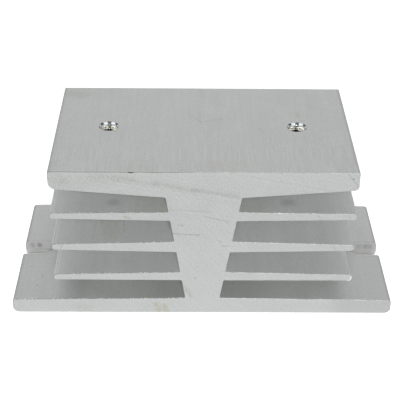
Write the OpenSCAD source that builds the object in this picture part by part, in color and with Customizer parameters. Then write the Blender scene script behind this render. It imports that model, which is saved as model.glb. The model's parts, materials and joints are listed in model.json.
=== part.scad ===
// Extruded heat sink for a panel-mounted relay
//
// One length of aluminium extrusion: a flat-topped device plate on a wedge-shaped web, three
// tapered fins on each side of the web, and a wide base flange to screw down. The section lies
// in the XZ plane and runs along Y. The origin is the middle of the underside.

/* [Overall] */
// Cut length of the extrusion
length = 45; // [25:1:150]
// Height from the underside to the device face
height = 41.4; // [34:0.1:70]

/* [Device plate] */
// Width of the plate
plate_w = 74; // [60:0.1:90]
// Thickness at the plate's long edges
plate_edge_t = 4.85; // [3.5:0.05:6]
// Thickness where the plate meets the web
plate_root_t = 7.1; // [5:0.05:9]
// Radius of the left lower edge
plate_left_r = 2; // [0.4:0.1:3]
// Radius of the right lower edge
plate_right_r = 1.1; // [0.4:0.1:3]
// Radius of the two upper edges
plate_top_r = 0.35; // [0.1:0.05:1]

/* [Web] */
// Width under the device plate
web_top_w = 18.4; // [12:0.1:26]
// Width on the base flange
web_foot_w = 8.8; // [5:0.1:12]
// Fillet in each inside corner of the section
root_r = 0.3; // [0.1:0.05:0.5]

/* [Fins] */
// Width over the fin tips
fin_span = 74.4; // [60:0.2:90]
// Distance from one fin to the next
fin_pitch = 9; // [7:0.1:10.8]
// Drop of the stack of fins below the middle of the space between flange and plate
fin_stack_drop = 0.25; // [0:0.05:0.5]
// Thickness at the tip
fin_tip_t = 1.75; // [1.2:0.05:2.2]
// Radius of both edges of a tip
fin_tip_r = 0.8; // [0.2:0.05:0.8]
// Rise of the upper flank from tip to web, one value for each fin, lowest first
fin_rise = [0.75, 0.85, 0.35]; // [0:0.05:1]
// Fall of the lower flank from tip to web, one value for each fin, lowest first
fin_fall = [0.1, 0.6, 0.45]; // [0:0.05:1]

/* [Base flange] */
// Width of the flange
base_w = 96; // [80:0.5:120]
// Thickness at the flange's long edges
base_edge_t = 4.05; // [3.2:0.05:5]
// Thickness where the flange meets the web
base_root_t = 4.65; // [3.2:0.05:5.5]
// Radius of the long edges, below
base_lower_r = 1.5; // [0.3:0.1:1.5]
// Radius of the long edges, above
base_upper_r = 0.9; // [0.3:0.1:1.5]

/* [Row of holes and slots] */
// Shift of the holes and slots from mid-length, towards the back
row_shift = 0.5; // [-4:0.1:4]

/* [Device screw holes] */
// Distance between the two tapped holes
hole_pitch = 47.6; // [38:0.1:55]
// Tapping diameter, for an M4 thread
tap_d = 3.3; // [2.5:0.1:4.2]
// Countersink diameter on the device face
sink_d = 5.1; // [4.4:0.1:7]
// Included angle of the countersink
sink_angle = 90; // [60:5:120]

/* [Fixing slots] */
// Width of each slot
slot_w = 5.5; // [4.2:0.1:7]
// Depth of each slot, from the flange's edge to its round end
slot_depth = 8.3; // [6:0.01:12]

/* [Hidden] */
$fn = 64;
overcut = 1;
// Each arc of the section stands this far over the two lines it joins, so that they cross cleanly
arc_overlap = 0.0005;
// Largest share of a line that the arc at its end may take
arc_share = 0.47;

flange_gap_low = base_edge_t;
flange_gap_high = height - plate_edge_t;
fin_count = len(fin_rise);
fin_middle_z = (flange_gap_low + flange_gap_high) / 2 - fin_stack_drop;
web_foot_z = base_root_t;
web_top_z = height - plate_root_t;
sink_depth = (sink_d - tap_d) / 2 / tan(sink_angle / 2);

// Height of the middle of one fin's tip, counted from the lowest fin
function fin_z(i) = fin_middle_z + (i - (fin_count - 1) / 2) * fin_pitch;

// The web's right-hand flank at height z, as an outline corner of radius root_r
function web_corner(z) =
    let (share = (z - web_foot_z) / (web_top_z - web_foot_z))
    [(web_foot_w + share * (web_top_w - web_foot_w)) / 2, z, root_r];

// The four corners of one fin: lower root, lower and upper edge of the tip, upper root
function fin_corners(i) =
    let (low = fin_z(i) - fin_tip_t / 2, high = fin_z(i) + fin_tip_t / 2)
    [
        web_corner(low - fin_fall[i]),
        [fin_span / 2, low, fin_tip_r],
        [fin_span / 2, high, fin_tip_r],
        web_corner(high + fin_rise[i]),
    ];

// Right-hand half of the section, from the underside up, as corners [x, z, radius]
function half_section(plate_edge_r) = [
    [base_w / 2, 0, base_lower_r],
    [base_w / 2, base_edge_t, base_upper_r],
    web_corner(web_foot_z),
    for (i = [0 : fin_count - 1]) each fin_corners(i),
    web_corner(web_top_z),
    [plate_w / 2, height - plate_edge_t, plate_edge_r],
    [plate_w / 2, height, plate_top_r],
];

// The same corners on the other side, in the opposite order
function mirrored(corners) = [
    for (i = [len(corners) - 1 : -1 : 0]) [-corners[i].x, corners[i].y, corners[i].z]
];

function flat(corner) = [corner.x, corner.y];
function unit(v) = v / norm(v);
function cross_z(a, b) = a.x * b.y - a.y * b.x;

// One rounded corner: [entry point, exit point, arc centre, radius, true where it stands out].
// An arc takes less than half of the shorter line beside it, so that two of them never meet.
function corner_arc(corners, i) =
    let (
        n = len(corners),
        tip = flat(corners[i]),
        to_last = flat(corners[(i + n - 1) % n]) - tip,
        to_next = flat(corners[(i + 1) % n]) - tip,
        back = unit(to_last),
        ahead = unit(to_next),
        half_angle = acos(back * ahead) / 2,
        most = arc_share * min(norm(to_last), norm(to_next)),
        reach = min(corners[i].z / tan(half_angle), most),
        r = reach * tan(half_angle)
    )
    [
        tip + reach * back,
        tip + reach * ahead,
        tip + unit(back + ahead) * r / sin(half_angle),
        r,
        cross_z(back, ahead) < 0,
    ];

// A closed outline, anticlockwise, with a true arc at each corner
module rounded_outline(corners) {
    arcs = [for (i = [0 : len(corners) - 1]) corner_arc(corners, i)];
    difference() {
        union() {
            polygon([for (arc = arcs) each [arc[0], arc[1]]]);
            for (arc = arcs)
                if (arc[4])
                    translate(arc[2]) circle(r = arc[3] + arc_overlap);
        }
        for (arc = arcs)
            if (!arc[4])
                translate(arc[2]) circle(r = arc[3] + arc_overlap);
    }
}

// The full length of the extrusion, before drilling and slotting
module bar() {
    rotate([90, 0, 0])
        linear_extrude(length, center = true)
            rounded_outline(concat(half_section(plate_right_r), mirrored(half_section(plate_left_r))));
}

// Tapping drill and countersink for one device screw, from the device face down
module device_hole() {
    translate([0, 0, height - plate_root_t - overcut])
        cylinder(h = plate_root_t + 2 * overcut, d = tap_d);
    translate([0, 0, height - sink_depth])
        cylinder(h = sink_depth, d1 = tap_d, d2 = sink_d);
}

// Open-ended slot in the right-hand edge of the flange
module fixing_slot() {
    end_x = base_w / 2 - slot_depth + slot_w / 2;
    slot_h = base_root_t + 2 * overcut;
    translate([end_x, row_shift, -overcut]) {
        cylinder(h = slot_h, d = slot_w);
        translate([0, -slot_w / 2, 0])
            cube([slot_depth + overcut, slot_w, slot_h]);
    }
}

module heat_sink() {
    color("silver")
        difference() {
            bar();
            for (side = [-1, 1])
                translate([side * hole_pitch / 2, row_shift, 0])
                    device_hole();
            fixing_slot();
            mirror([1, 0, 0])
                fixing_slot();
        }
}

heat_sink();
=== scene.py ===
"""Extruded heat sink: its fine shape and its finishes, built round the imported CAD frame.

The heat sink is one length of aluminium extrusion, sawn off at both ends, with two tapped and
countersunk holes in its device plate and an open fixing slot in each long edge of its base
flange. Sizes are in millimetres, unless a name or a docstring says otherwise, and become metres
where they enter Blender. X runs across the section, Y along the extrusion and Z up.
"""

import sys

import json
import logging
import math
from abc import ABC, abstractmethod
from collections.abc import Callable
from dataclasses import dataclass, field
from enum import Enum
from typing import Any

import bpy
from mathutils import Matrix, Vector


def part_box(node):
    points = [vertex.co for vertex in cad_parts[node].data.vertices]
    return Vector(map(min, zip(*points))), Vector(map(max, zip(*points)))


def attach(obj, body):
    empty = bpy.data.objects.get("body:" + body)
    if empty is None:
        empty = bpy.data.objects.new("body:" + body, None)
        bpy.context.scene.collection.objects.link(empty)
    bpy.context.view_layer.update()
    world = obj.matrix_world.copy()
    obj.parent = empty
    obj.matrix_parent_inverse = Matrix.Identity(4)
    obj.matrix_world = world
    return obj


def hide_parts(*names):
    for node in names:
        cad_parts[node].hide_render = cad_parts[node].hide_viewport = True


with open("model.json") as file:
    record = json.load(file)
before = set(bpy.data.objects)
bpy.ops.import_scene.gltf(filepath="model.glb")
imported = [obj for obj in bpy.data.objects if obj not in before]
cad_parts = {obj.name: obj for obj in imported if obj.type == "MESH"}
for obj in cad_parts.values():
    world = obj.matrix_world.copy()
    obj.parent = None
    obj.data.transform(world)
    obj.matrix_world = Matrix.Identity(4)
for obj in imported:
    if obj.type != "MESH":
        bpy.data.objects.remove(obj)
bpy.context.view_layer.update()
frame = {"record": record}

LOG = logging.getLogger("heat_sink")
MM = 0.001
NODE = "heat_sink"
BODY = "root"
SAME_PLACE = 1e-7
HELPER_ATTRIBUTES = ("corner_radius", "mitre", "finish")

Colour = tuple[float, float, float]
Triple = tuple[float, float, float]
Pair = tuple[float, float]
Inputs = dict[str | int, Any]


# ---- Node trees ----


def _written(operation: str, swapped: bool = False) -> Callable[["Field", "Value"], "Field"]:
    """Makes one of Field's operators.

    Args:
        operation: The Math node's operation.
        swapped: Whether the field is the second of the two operands.

    Returns:
        The operator's method.
    """

    def operator(self: "Field", other: "Value") -> "Field":
        """Writes the node for the field and another operand."""
        return self.graph.math(operation, *((other, self) if swapped else (self, other)))

    return operator


class Field:
    """An output socket of a node. Arithmetic on it writes Math nodes into its tree."""

    def __init__(self, graph: "Graph", socket: bpy.types.NodeSocket) -> None:
        """Remembers the socket and the tree that it belongs to."""
        self.graph = graph
        self.socket = socket

    __add__ = _written("ADD")
    __sub__ = _written("SUBTRACT")
    __rsub__ = _written("SUBTRACT", swapped=True)
    __mul__ = _written("MULTIPLY")
    __truediv__ = _written("DIVIDE")
    __rtruediv__ = _written("DIVIDE", swapped=True)

    def __abs__(self) -> "Field":
        """The value without its sign."""
        return self.graph.math("ABSOLUTE", self)


Value = Field | float


class Graph:
    """A node tree being written. Sockets are plugged with fields or set to plain values."""

    def __init__(self, tree: bpy.types.NodeTree) -> None:
        """Starts writing into a tree."""
        self.tree = tree

    def node(self, kind: str, inputs: Inputs | None = None, **settings: Any) -> bpy.types.Node:
        """Adds a node.

        Args:
            kind: The node's type in Blender.
            inputs: What goes into each socket, by the socket's name or number.
            settings: The node's own properties.

        Returns:
            The new node.
        """
        node = self.tree.nodes.new(kind)
        for name, value in settings.items():
            setattr(node, name, value)
        for name, value in (inputs or {}).items():
            self.plug(node.inputs[name], value)
        return node

    def add(self, kind: str, inputs: Inputs | None = None, **settings: Any) -> Field:
        """Adds a node, as node() does, and returns its first output that is in use."""
        node = self.node(kind, inputs, **settings)
        return Field(self, next(socket for socket in node.outputs if socket.enabled))

    def plug(self, socket: bpy.types.NodeSocket, value: Any) -> None:
        """Links a field to a socket, or sets the socket's own value.

        Args:
            socket: The socket.
            value: The field or the plain value.
        """
        if isinstance(value, Field):
            self.tree.links.new(value.socket, socket)
        else:
            socket.default_value = value

    def math(self, operation: str, *values: Value) -> Field:
        """Adds a Math node over one, two or three values."""
        return self.add("ShaderNodeMath", dict(enumerate(values)), operation=operation)

    def vector_math(self, operation: str, first: Any, second: Any) -> Field:
        """Adds a Vector Math node over two vectors."""
        return self.add("ShaderNodeVectorMath", {0: first, 1: second}, operation=operation)

    def dot(self, first: Any, second: Any) -> Field:
        """The dot product of two vectors."""
        return self.vector_math("DOT_PRODUCT", first, second)

    def scaled(self, vector: Any, scale: Value) -> Field:
        """A vector times a number."""
        return self.add("ShaderNodeVectorMath", {0: vector, "Scale": scale}, operation="SCALE")

    def vector(self, x: Value, y: Value, z: Value) -> Field:
        """A vector of three parts."""
        return self.add("ShaderNodeCombineXYZ", {0: x, 1: y, 2: z})

    def parts(self, vector: Field) -> tuple[Field, Field, Field]:
        """The three parts of a vector."""
        outputs = self.node("ShaderNodeSeparateXYZ", {0: vector}).outputs
        return Field(self, outputs[0]), Field(self, outputs[1]), Field(self, outputs[2])

    def blend_in(self, value: Value, start: float, end: float) -> Field:
        """Rises smoothly from 0 at start to 1 at end, which may be the lower of the two.

        Args:
            value: What is looked at.
            start: Where it is 0.
            end: Where it is 1.

        Returns:
            The share, from 0 to 1.
        """
        rising = {"Value": value, "From Min": min(start, end), "From Max": max(start, end)}
        if start > end:
            rising |= {"To Min": 1.0, "To Max": 0.0}
        return self.add("ShaderNodeMapRange", rising, interpolation_type="SMOOTHSTEP")

    def ramp(self, value: Field, edges: Pair, ends: Pair) -> Field:
        """Runs smoothly from one result to another while a value passes between two edges.

        Args:
            value: What is looked at.
            edges: Where the result starts to change and where it stops.
            ends: The results there.

        Returns:
            The result.
        """
        first, last = ends
        return self.blend_in(value, *edges) * (last - first) + first

    def where(self, first: Value, operation: str, second: Value) -> Field:
        """True where two numbers compare as asked. It is for geometry trees."""
        return self.add("FunctionNodeCompare", {"A": first, "B": second}, operation=operation)

    def both(self, first: Field, second: Field) -> Field:
        """True where both of two selections are. It is for geometry trees."""
        return self.add("FunctionNodeBooleanMath", {0: first, 1: second}, operation="AND")

    def chance(self, seed: int, low: float = 0.0, high: float = 1.0) -> Field:
        """A random number for each element, from a fixed seed. It is for geometry trees.

        Args:
            seed: The seed.
            low: The least value.
            high: The greatest value.

        Returns:
            The number.
        """
        node = self.node("FunctionNodeRandomValue", data_type="FLOAT")
        values = {"Min_001": low, "Max_001": high, "Seed": seed}
        for socket in node.inputs:
            if socket.identifier in values:
                socket.default_value = values[socket.identifier]
        return Field(self, next(socket for socket in node.outputs if socket.enabled))


class Recipe(Graph):
    """A Geometry Nodes tree with named inputs, run once on an object and kept as plain mesh."""

    def __init__(self, name: str, lengths: dict[str, float], counts: dict[str, int]) -> None:
        """Starts a tree.

        Args:
            name: The tree's name.
            lengths: Its inputs that are lengths, in millimetres, by name.
            counts: Its inputs that are whole numbers, by name.
        """
        super().__init__(bpy.data.node_groups.new(name, "GeometryNodeTree"))
        self.values: dict[str, float | int] = {}
        self._interface("Geometry", "NodeSocketGeometry", "INPUT")
        self._interface("Geometry", "NodeSocketGeometry", "OUTPUT")
        for title, length in lengths.items():
            self.values[self._interface(title, "NodeSocketFloat", "INPUT")] = length * MM
        for title, count in counts.items():
            self.values[self._interface(title, "NodeSocketInt", "INPUT")] = count
        self.inputs = self.tree.nodes.new("NodeGroupInput").outputs
        self.output = self.tree.nodes.new("NodeGroupOutput").inputs[0]
        self.materials: list[bpy.types.Material] = []

    def _interface(self, title: str, kind: str, direction: str) -> str:
        """Adds a socket to the tree's own interface and returns its identifier."""
        return self.tree.interface.new_socket(title, in_out=direction, socket_type=kind).identifier

    def __getitem__(self, title: str) -> Field:
        """The named input."""
        return Field(self, self.inputs[title])

    @property
    def position(self) -> Field:
        """Where each point is."""
        return self.add("GeometryNodeInputPosition")

    def joined(self, *pieces: Field) -> Field:
        """Several pieces of geometry as one.

        Args:
            pieces: The pieces, in order.

        Returns:
            The joined geometry.
        """
        node = self.node("GeometryNodeJoinGeometry")
        for piece in reversed(pieces):
            self.tree.links.new(piece.socket, node.inputs[0])
        return Field(self, node.outputs[0])

    def moved(self, geometry: Field, translation: Any, rotation: Triple = (0.0, 0.0, 0.0)) -> Field:
        """Geometry turned about the origin, by angles in radians, and then moved."""
        inputs = {"Geometry": geometry, "Translation": translation, "Rotation": rotation}
        return self.add("GeometryNodeTransform", inputs)

    def dressed(
        self, geometry: Field, material: bpy.types.Material, where: Field | None = None
    ) -> Field:
        """Numbers faces for the material that kept() gives them.

        Args:
            geometry: What is dressed.
            material: The material.
            where: The faces that get it, or None for all of them.

        Returns:
            The geometry.
        """
        if material not in self.materials:
            self.materials.append(material)
        inputs = {"Geometry": geometry, "Name": "finish", "Value": self.materials.index(material)}
        if where is not None:
            inputs["Selection"] = where
        return self.add("GeometryNodeStoreNamedAttribute", inputs, data_type="INT", domain="FACE")

    def combined(self, operation: str, body: Field | None, *tools: Field) -> Field:
        """Joins tools to a body or cuts them out of it, as exact closed solids.

        Args:
            operation: The boolean node's operation.
            body: The body, or None where there are only tools.
            tools: What is joined or cut out.

        Returns:
            The closed solid.
        """
        node = self.node("GeometryNodeMeshBoolean", operation=operation, solver="MANIFOLD")
        if body is not None and operation == "DIFFERENCE":
            self.plug(node.inputs["Mesh 1"], body)
        else:
            tools = (*tools, body)
        for tool in tools:
            self.tree.links.new(tool.socket, node.inputs["Mesh 2"])
        return Field(self, node.outputs[0])

    def prism(self, outline: Field, length: Value, edge_break: Value | None = None) -> Field:
        """Extrudes a closed curve in the XY plane along Z into a closed solid.

        Args:
            outline: The curve, which runs anticlockwise.
            length: The length along Z, from the curve's plane up.
            edge_break: The width by which the edges round both ends are broken, or None.

        Returns:
            The solid.
        """
        ring = self.add("GeometryNodeCurveToMesh", {"Curve": self._with_mitre(outline)})
        inputs = {"Name": "mitre"}
        mitre = self.add("GeometryNodeInputNamedAttribute", inputs, data_type="FLOAT_VECTOR")
        stages: list[tuple[Value, Field | None]] = [(length, None)]
        if edge_break is not None:
            outward = self.scaled(mitre, edge_break)
            inward = self.scaled(mitre, edge_break * -1.0)
            ring = self.add("GeometryNodeSetPosition", {"Geometry": ring, "Offset": inward})
            middle = length - edge_break * 2.0
            stages = [(edge_break, outward), (middle, None), (edge_break, inward)]
        wall, rim = ring, None
        upward = self.vector(0.0, 0.0, 1.0)
        for rise, shift in stages:
            inputs = {"Mesh": wall, "Offset": upward, "Offset Scale": rise}
            if rim is not None:
                inputs["Selection"] = rim
            node = self.node("GeometryNodeExtrudeMesh", inputs, mode="EDGES")
            wall, rim = Field(self, node.outputs["Mesh"]), Field(self, node.outputs["Top"])
            if shift is not None:
                inputs = {"Geometry": wall, "Selection": rim, "Offset": shift}
                wall = self.add("GeometryNodeSetPosition", inputs)
        wall = self.add("GeometryNodeFlipFaces", {"Mesh": wall})
        edge = self.add("GeometryNodeMeshToCurve", {"Mesh": ring})
        cap = self.add("GeometryNodeFillCurve", {"Curve": edge}, mode="NGONS")
        far_cap = self.moved(cap, self.vector(0.0, 0.0, length))
        near_cap = self.add("GeometryNodeFlipFaces", {"Mesh": cap})
        solid = self.joined(wall, near_cap, far_cap)
        return self.add("GeometryNodeMergeByDistance", {"Geometry": solid, "Distance": SAME_PLACE})

    def _with_mitre(self, outline: Field) -> Field:
        """Stores, at each point of a flat closed curve, the outward step that offsets it by one.

        Args:
            outline: The curve, which runs anticlockwise.

        Returns:
            The curve with its steps stored.
        """
        index = self.add("GeometryNodeInputIndex")
        ways = []
        for step in (-1, 1):
            inputs = {"Point Index": index, "Offset": step}
            node = self.node("GeometryNodeOffsetPointInCurve", inputs)
            inputs = {"Value": self.position, "Index": Field(self, node.outputs["Point Index"])}
            other = self.add("GeometryNodeFieldAtIndex", inputs, data_type="FLOAT_VECTOR")
            tip_and_tail = (self.position, other) if step < 0 else (other, self.position)
            way = self.vector_math("SUBTRACT", *tip_and_tail)
            ways.append(self.add("ShaderNodeVectorMath", {0: way}, operation="NORMALIZE"))
        sum_of_ways = self.vector_math("ADD", *ways)
        x, y, _ = self.parts(sum_of_ways)
        share = 1.0 / (self.dot(*ways) + 1.0)
        mitre = self.scaled(self.vector(y, x * -1.0, 0.0), share)
        inputs = {"Geometry": outline, "Name": "mitre", "Value": mitre}
        return self.add("GeometryNodeStoreNamedAttribute", inputs, data_type="FLOAT_VECTOR")

    def kept(self, geometry: Field, source: bpy.types.Object) -> bpy.types.Mesh:
        """Ends the tree, runs it on an object and returns the result as plain mesh.

        Args:
            geometry: What the tree puts out.
            source: The object that the tree starts from. It is removed.

        Returns:
            The plain mesh.
        """
        geometry = self.add("GeometryNodeRealizeInstances", {"Geometry": geometry})
        finish = self.add("GeometryNodeInputNamedAttribute", {"Name": "finish"}, data_type="INT")
        for number, material in enumerate(self.materials):
            numbered = self.where(finish, "EQUAL", number)
            inputs = {"Geometry": geometry, "Selection": numbered, "Material": material}
            geometry = self.add("GeometryNodeSetMaterial", inputs)
        self.plug(self.output, geometry)
        modifier = source.modifiers.new(self.tree.name, "NODES")
        modifier.node_group = self.tree
        for identifier, value in self.values.items():
            modifier[identifier] = value
        depsgraph = bpy.context.evaluated_depsgraph_get()
        mesh = bpy.data.meshes.new_from_object(source.evaluated_get(depsgraph))
        if mesh.materials[0] is None:
            mesh.materials.pop(index=0)
        source.modifiers.remove(modifier)
        bpy.data.objects.remove(source)
        for helper in HELPER_ATTRIBUTES:
            mesh.attributes.remove(mesh.attributes[helper])
        return mesh


# ---- Finishes ----


class Side(Enum):
    """The faces that a mark can lie on, each with the heights between which it lies."""

    FRONT = (-1.0, 42.0)
    TOP = (40.5, 42.0)
    HIGH_FIN = (27.0, 33.0)
    MIDDLE_FIN = (18.0, 24.0)
    FLANGE = (2.5, 6.0)

    @property
    def upright(self) -> bool:
        """Whether it faces the front, and not up."""
        return self is Side.FRONT


@dataclass(frozen=True)
class Mark:
    """A smudge, scratch, stain or band of painted shade along a straight stroke on one face.

    A place on the front is (X, Z), and a place on the other sides is (X, Y). The tint
    multiplies the colour under the mark, ragged is how far its outline wanders, and mottled is
    the share of it that breaks up into spots.
    """

    side: Side
    start: Pair
    end: Pair
    width: float
    tint: Colour
    ragged: float = 0.0
    mottled: float = 0.0
    soft: float = 0.8


def marks_on(side: Side, *strokes: tuple[Any, ...]) -> tuple[Mark, ...]:
    """Marks on one side. A stroke holds a mark's other values, in the order of its fields."""
    return tuple(Mark(side, *stroke) for stroke in strokes)


class Painter(Graph):
    """The shader tree of one finish, with the patterns that the finishes share."""

    wander_scale = 0.9
    waver_length = 9.0
    spot_size = 0.5
    spot_edge = (-0.05, 0.09)
    facing_edge = (0.3, 0.5)

    def __init__(self, name: str) -> None:
        """Makes the material and puts the place on the object, in millimetres, at its root.

        Args:
            name: The material's name.
        """
        self.material = bpy.data.materials.new(name)
        self.material.use_nodes = True
        super().__init__(self.material.node_tree)
        self.tree.nodes.clear()
        coordinates = self.node("ShaderNodeTexCoord").outputs["Object"]
        self.place = self.scaled(Field(self, coordinates), 1.0 / MM)
        self.x, self.y, self.z = self.parts(self.place)
        geometry = self.node("ShaderNodeNewGeometry").outputs["True Normal"]
        self.face_x, self.face_y, self.face_z = self.parts(Field(self, geometry))

    def grain(self, size: Triple, detail: float = 2.0, shift: float = 0.0) -> Field:
        """Noise about 0, between -0.5 and 0.5, whose grain has a size along each axis.

        Args:
            size: The grain's size along X, Y and Z, in millimetres.
            detail: How much finer noise lies on it.
            shift: Where in the noise it is read.

        Returns:
            The noise.
        """
        stretched = self.vector_math("MULTIPLY", self.place, tuple(1.0 / length for length in size))
        moved = self.vector_math("ADD", stretched, (shift, shift, shift))
        noise = self.add("ShaderNodeTexNoise", {"Vector": moved, "Scale": 1.0, "Detail": detail})
        return noise - 0.5

    def lines(self, across: Field, spacing: float, waver: float = 0.0, shift: float = 0.0) -> Field:
        """Straight lines of uneven strength, about 0, drawn across a coordinate in millimetres.

        Args:
            across: The coordinate.
            spacing: About how far apart the lines are.
            waver: How far they wander, in spacings.
            shift: Where in the noise they are read.

        Returns:
            The lines.
        """
        line = across / spacing + shift
        if waver:
            line = line + self.grain((self.waver_length,) * 3, 1.0, shift) * waver
        inputs = {"W": line, "Scale": 1.0, "Detail": 2.0}
        return self.add("ShaderNodeTexNoise", inputs, noise_dimensions="1D") - 0.5

    def near(self, value: Field, line: Triple) -> Field:
        """A soft line, drawn where a value comes close to the line's middle.

        Args:
            value: What is looked at.
            line: The middle, and how far from it the line has faded out and begins to fade.

        Returns:
            The share, from 0 to 1.
        """
        middle, outer, inner = line
        return self.blend_in(abs(value - middle), outer, inner)

    def tinted(self, colour: Field, tint: Colour, share: Value) -> Field:
        """A colour multiplied by a tint, as far as share says.

        Args:
            colour: The colour.
            tint: What multiplies it.
            share: How much of the tint there is, from 0 to 1.

        Returns:
            The tinted colour.
        """
        node = self.node(
            "ShaderNodeMix", data_type="RGBA", blend_type="MULTIPLY", clamp_factor=True
        )
        self.plug(node.inputs[0], share)
        self.plug(node.inputs[6], colour)
        self.plug(node.inputs[7], (*tint, 1.0))
        return Field(self, node.outputs[2])

    def marked(self, colour: Field, mark: Mark) -> Field:
        """A colour with a mark on it.

        Args:
            colour: The colour.
            mark: The mark.

        Returns:
            The marked colour.
        """
        flat = (1.0, 0.0, 1.0) if mark.side.upright else (1.0, 1.0, 0.0)
        place = self.vector_math("MULTIPLY", self.place, flat)
        if mark.ragged:
            inputs = {"Vector": place, "Scale": self.wander_scale, "Detail": 4.0}
            noise = self.node("ShaderNodeTexNoise", inputs).outputs["Color"]
            wander = self.vector_math("SUBTRACT", Field(self, noise), (0.5, 0.5, 0.5))
            place = self.vector_math("ADD", place, self.scaled(wander, mark.ragged))
        start, end = (
            Vector((u, 0.0, v) if mark.side.upright else (u, v, 0.0))
            for u, v in (mark.start, mark.end)
        )
        along = end - start
        offset = self.vector_math("SUBTRACT", place, tuple(start))
        share = self.dot(offset, tuple(along / max(along.length_squared, 1e-6)))
        share = self.add("ShaderNodeClamp", {"Value": share})
        offset = self.vector_math("SUBTRACT", offset, self.scaled(tuple(along), share))
        distance = self.add("ShaderNodeVectorMath", {0: offset}, operation="LENGTH")
        half_w = mark.width / 2
        cover = self.blend_in(distance, half_w * (1 + mark.soft), half_w * (1 - mark.soft))
        if mark.mottled:
            spots = self.blend_in(self.grain((self.spot_size,) * 3, 3.0, 5.0), *self.spot_edge)
            cover = cover * (spots * mark.mottled + (1.0 - mark.mottled))
        cover = cover * self._on_side(mark.side)
        return self.tinted(colour, mark.tint, cover)

    def _on_side(self, side: Side) -> Field:
        """1 on the faces that belong to a side, and 0 elsewhere.

        Args:
            side: The side.

        Returns:
            The share, from 0 to 1.
        """
        low_share, high_share = self.facing_edge
        if side.upright:
            return self.blend_in(self.face_y, -low_share, -high_share)
        low, high = side.value
        facing = self.blend_in(self.face_z, low_share, high_share)
        return facing * self.math("COMPARE", self.z, (low + high) / 2, (high - low) / 2)

    def finished(
        self,
        colour: Field | Colour,
        metallic: float,
        roughness: Value,
        relief: Field | None = None,
        **sockets: float,
    ) -> bpy.types.Material:
        """Ends the tree in a Principled shader.

        Args:
            colour: The base colour.
            metallic: How metallic the surface is.
            roughness: How rough it is.
            relief: The height of its fine relief, in millimetres, or None.
            sockets: Other values of the shader, by socket name with underscores for spaces.

        Returns:
            The finished material.
        """
        inputs = {"Metallic": metallic, "Roughness": roughness}
        shader = self.node("ShaderNodeBsdfPrincipled", inputs)
        colour = colour if isinstance(colour, Field) else (*colour, 1.0)
        self.plug(shader.inputs["Base Color"], colour)
        for name, value in sockets.items():
            shader.inputs[name.replace("_", " ")].default_value = value
        if relief is not None:
            bump = self.add("ShaderNodeBump", {"Height": relief, "Distance": MM, "Strength": 1.0})
            self.plug(shader.inputs["Normal"], bump)
        output = self.node("ShaderNodeOutputMaterial")
        self.tree.links.new(shader.outputs[0], output.inputs["Surface"])
        return self.material


@dataclass(frozen=True)
class Finish(ABC):
    """How one kind of surface of the bar looks: its colour, gloss and the pattern on it."""

    name: str
    colour: Colour
    metallic: float
    roughness: float

    @abstractmethod
    def material(self) -> bpy.types.Material:
        """Makes the finish's material.

        Returns:
            The material.
        """


SMEARS = marks_on(
    Side.FRONT,
    ((-35.3, 39.3), (-34.2, 38.6), 3.4, (0.88, 0.87, 0.85), 1.4, 0.9),
    ((-32.5, 38.6), (-22.0, 38.9), 3.4, (0.93, 0.92, 0.90), 1.8, 0.8),
    ((-27.0, 40.3), (-16.5, 39.5), 1.6, (0.90, 0.89, 0.87), 1.0, 0.7),
    ((-21.0, 39.6), (-11.5, 37.9), 1.5, (0.89, 0.88, 0.86), 1.0, 0.6),
    ((-11.5, 38.4), (-1.9, 36.0), 1.6, (0.87, 0.86, 0.84), 0.9, 0.4),
    ((-2.4, 36.7), (8.4, 34.7), 1.0, (0.88, 0.87, 0.85), 0.7, 0.3),
    ((-31.5, 1.9), (-28.5, 1.4), 2.4, (0.90, 0.89, 0.86), 1.4, 0.7),
    ((38.0, 2.0), (50.0, 2.0), 9.0, (0.91, 0.91, 0.91), 1.0, 0.0, 0.5),
)
SCRATCHES = marks_on(
    Side.FRONT,
    ((-7.2, 24.1), (-0.8, 23.7), 0.35, (0.70, 0.69, 0.66), 0.2, 0.5),
    ((-6.0, 26.7), (-4.8, 26.4), 0.3, (0.82, 0.81, 0.79), 0.1),
    ((0.2, 29.2), (6.1, 27.6), 0.4, (0.88, 0.87, 0.85), 0.3),
    ((-8.5, 31.0), (1.5, 30.4), 0.35, (0.90, 0.89, 0.87), 0.3),
    ((3.5, 22.1), (4.5, 21.8), 0.2, (0.72, 0.71, 0.69)),
    ((4.5, 20.5), (6.1, 20.5), 0.2, (0.70, 0.69, 0.67)),
    ((33.9, 41.3), (36.8, 37.7), 0.16, (0.72, 0.70, 0.68)),
    ((35.3, 39.8), (35.5, 39.8), 0.35, (0.62, 0.60, 0.60)),
    ((27.6, 29.6), (28.6, 28.4), 0.16, (0.72, 0.70, 0.68)),
    ((32.0, 20.6), (32.8, 19.6), 0.2, (0.76, 0.74, 0.72)),
    ((-34.6, 20.6), (-35.0, 19.6), 0.3, (0.80, 0.79, 0.77)),
)
# Painted shade of a notch in the front top edge: a near-black mark, with no notch cut in the shape.
NICK_SHADE = Mark(Side.FRONT, (-17.7, 41.4), (-16.9, 41.4), 0.5, (0.12, 0.12, 0.17))
STAINS = marks_on(
    Side.FRONT,
    ((-18.9, 28.9), (-17.9, 28.5), 0.7, (0.86, 0.80, 0.74), 0.5),
    ((-1.9, 10.9), (-1.8, 10.9), 0.4, (0.76, 0.70, 0.66)),
    ((-4.3, 8.2), (-2.9, 5.2), 1.0, (0.86, 0.82, 0.76), 0.9, 0.5),
    ((-11.7, 2.6), (-10.9, 0.6), 1.4, (0.84, 0.80, 0.62), 1.0, 0.5),
    ((-9.6, 2.2), (-9.0, 0.6), 1.3, (0.82, 0.78, 0.60), 1.0, 0.5),
)
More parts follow.
